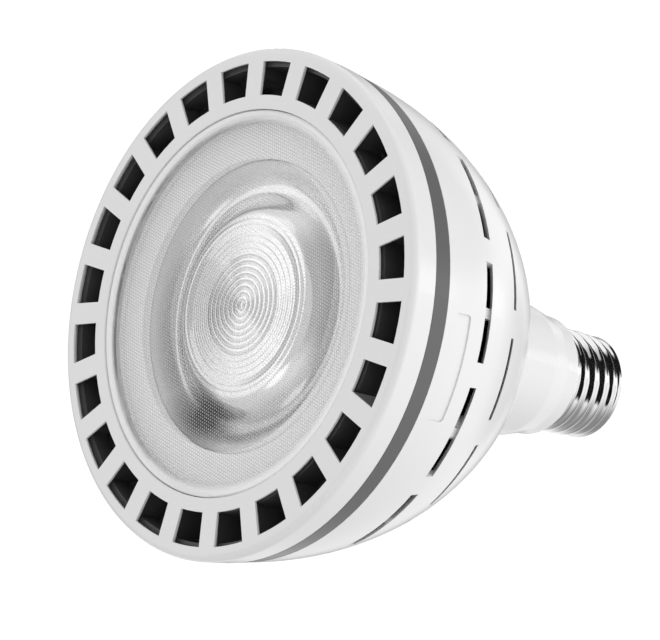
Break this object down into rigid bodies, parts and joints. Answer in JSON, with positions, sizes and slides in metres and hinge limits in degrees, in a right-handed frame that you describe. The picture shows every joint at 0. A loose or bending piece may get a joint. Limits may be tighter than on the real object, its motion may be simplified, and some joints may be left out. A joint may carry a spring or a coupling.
{
  "type": "par spotlight bulb",
  "caption": "Vented reflector lamp with an LED light source, a ring of windows round its lens, a slotted bowl over a finned heat sink, and a screw base.",
  "frame": {"origin": "centre of the front face ring, in the plane that the lamp stands on", "axes": "+Z along the lamp's axis from the front face to the screw base; +X and +Y across the face, with +X on a bar between two windows"},
  "size_m": [0.1204, 0.1204, 0.1258],
  "materials": {
    "white_plastic": "satin moulded",
    "clear_plastic": "clear with a fine prism surface",
    "clear_optic": "clear polished",
    "seal_rubber": "matte",
    "grey_plastic": "satin moulded",
    "black_metal": "black coated, matte",
    "phosphor": "satin",
    "ceramic": "matte",
    "board_metal": "white lacquer",
    "pad_grey": "matte",
    "screw_steel": "zinc plated",
    "cup_plastic": "matte moulded",
    "base_plating": "bright nickel plate",
    "base_insulation": "glossy dark glass",
    "contact_metal": "plated",
    "board_green": "lacquered",
    "ferrite": "matte sintered",
    "tape_yellow": "tape",
    "can_sleeve": "shrunk sleeve",
    "film_box": "moulded",
    "resistor_body": "lacquer",
    "chip_black": "moulded",
    "lead_red": "insulated wire",
    "lead_black": "insulated wire",
    "lead_white": "insulated wire"
  },
  "bodies": {
    "root": {"front_bezel": "white_plastic", "lens_cover": "clear_plastic", "lens_seal": "seal_rubber", "optic_ring": "white_plastic", "collimator": "clear_optic", "optic_holder": "white_plastic", "led_emitter": "phosphor", "led_package": "ceramic", "led_board": "board_metal", "thermal_pad": "pad_grey", "board_screws": "screw_steel", "heat_sink": "black_metal", "trim_band": "grey_plastic", "rear_shell": "white_plastic", "shell_screws": "screw_steel", "driver_cup": "cup_plastic", "cup_lid": "cup_plastic", "cup_screws": "screw_steel", "screw_shell": "base_plating", "base_insulator": "base_insulation", "centre_contact": "contact_metal", "driver_board": "board_green", "transformer_core": "ferrite", "transformer_bobbin": "tape_yellow", "bulk_capacitor": "can_sleeve", "output_capacitor": "can_sleeve", "film_capacitor": "film_box", "line_choke": "ferrite", "fusible_resistor": "resistor_body", "bridge_rectifier": "chip_black", "driver_chip": "chip_black", "led_lead_plus": "lead_red", "led_lead_minus": "lead_black", "contact_lead": "lead_white", "rim_lead": "lead_white"}
  },
  "joints": []
}
